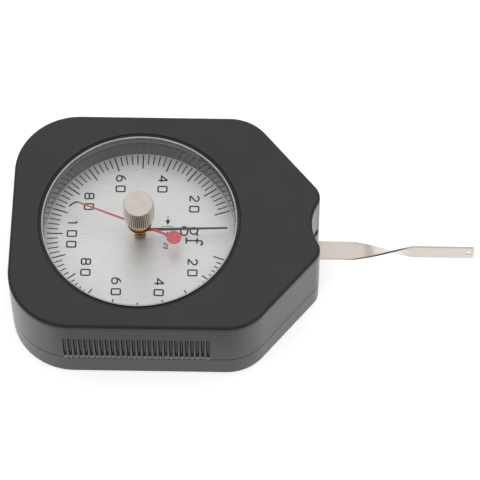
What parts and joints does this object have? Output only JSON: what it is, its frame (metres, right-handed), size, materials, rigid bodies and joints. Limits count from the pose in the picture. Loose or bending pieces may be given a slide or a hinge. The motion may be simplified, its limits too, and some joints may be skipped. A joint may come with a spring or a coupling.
{
  "type": "force gauge",
  "caption": "Dial tension gauge: a twisted lever from the nose of a flat case turns a pointer through gears, and a knob on the window sets a peak pointer.",
  "frame": {"origin": "on the dial's axis, in the flat back of the case", "axes": "+X along the lever out of the nose, +Z out of the dial, +Y to the left of the lever seen from the dial"},
  "size_m": [0.1205, 0.0634, 0.0321],
  "materials": {
    "case_plastic": "fine-textured black moulding",
    "clear_window": "clear polished crystal",
    "bright_ring": "bright thin ring",
    "black_seal": "black seal",
    "dial_silver": "satin silver with printed scale",
    "brass": "turned brass",
    "spring_steel": "polished strip steel",
    "steel": "turned steel",
    "nickel": "nickel-plated, straight knurl",
    "pointer_black": "black paint",
    "pointer_red": "red paint"
  },
  "bodies": {
    "case": {"front_shell": "case_plastic", "back_cover": "case_plastic", "cover_screws": "steel", "crystal": "clear_window", "bezel_ring": "bright_ring", "crystal_gasket": "black_seal", "dial_plate": "dial_silver", "front_plate": "brass", "rear_plate": "brass", "pillars": "brass", "pillar_screws": "steel", "movement_screws": "steel", "lever_bearings": "brass", "pointer_bearings": "brass", "stop_pins": "steel", "main_spring": "spring_steel", "main_spring_stud": "brass", "hairspring": "spring_steel", "hairspring_stud": "brass", "knob_bush": "brass", "bush_nut": "brass"},
    "lever": {"measuring_lever": "spring_steel", "lever_arbor": "steel", "lever_hub": "brass", "lever_screws": "steel", "sector_gear": "brass", "main_spring_collet": "brass"},
    "pointer": {"pointer_arbor": "steel", "hairspring_collet": "brass", "main_pointer": "pointer_black", "main_pointer_hub": "brass"},
    "peak": {"reset_knob": "nickel", "knob_stem": "brass", "friction_washer": "steel", "peak_pointer": "pointer_red", "peak_pointer_hub": "brass"}
  },
  "joints": [
    {"name": "lever_swing", "type": "hinge", "parent": "case", "child": "lever", "pos_m": [0.0336, 0, 0], "axis": [0, 0, 1], "range_deg": [-13.85, 13.85], "stiffness_Nm_per_rad": 0.212, "deforming": ["main_spring"]},
    {"name": "pointer_turn", "type": "hinge", "parent": "case", "child": "pointer", "pos_m": [0, 0, 0], "axis": [0, 0, 1], "range_deg": [-180, 180], "deforming": ["hairspring"]},
    {"name": "peak_turn", "type": "hinge", "parent": "case", "child": "peak", "pos_m": [0, 0, 0], "axis": [0, 0, 1], "range_deg": [-152, 200]}
  ],
  "couplings": [
    {"joint": "pointer_turn", "follows": "lever_swing", "ratio": -13}
  ]
}
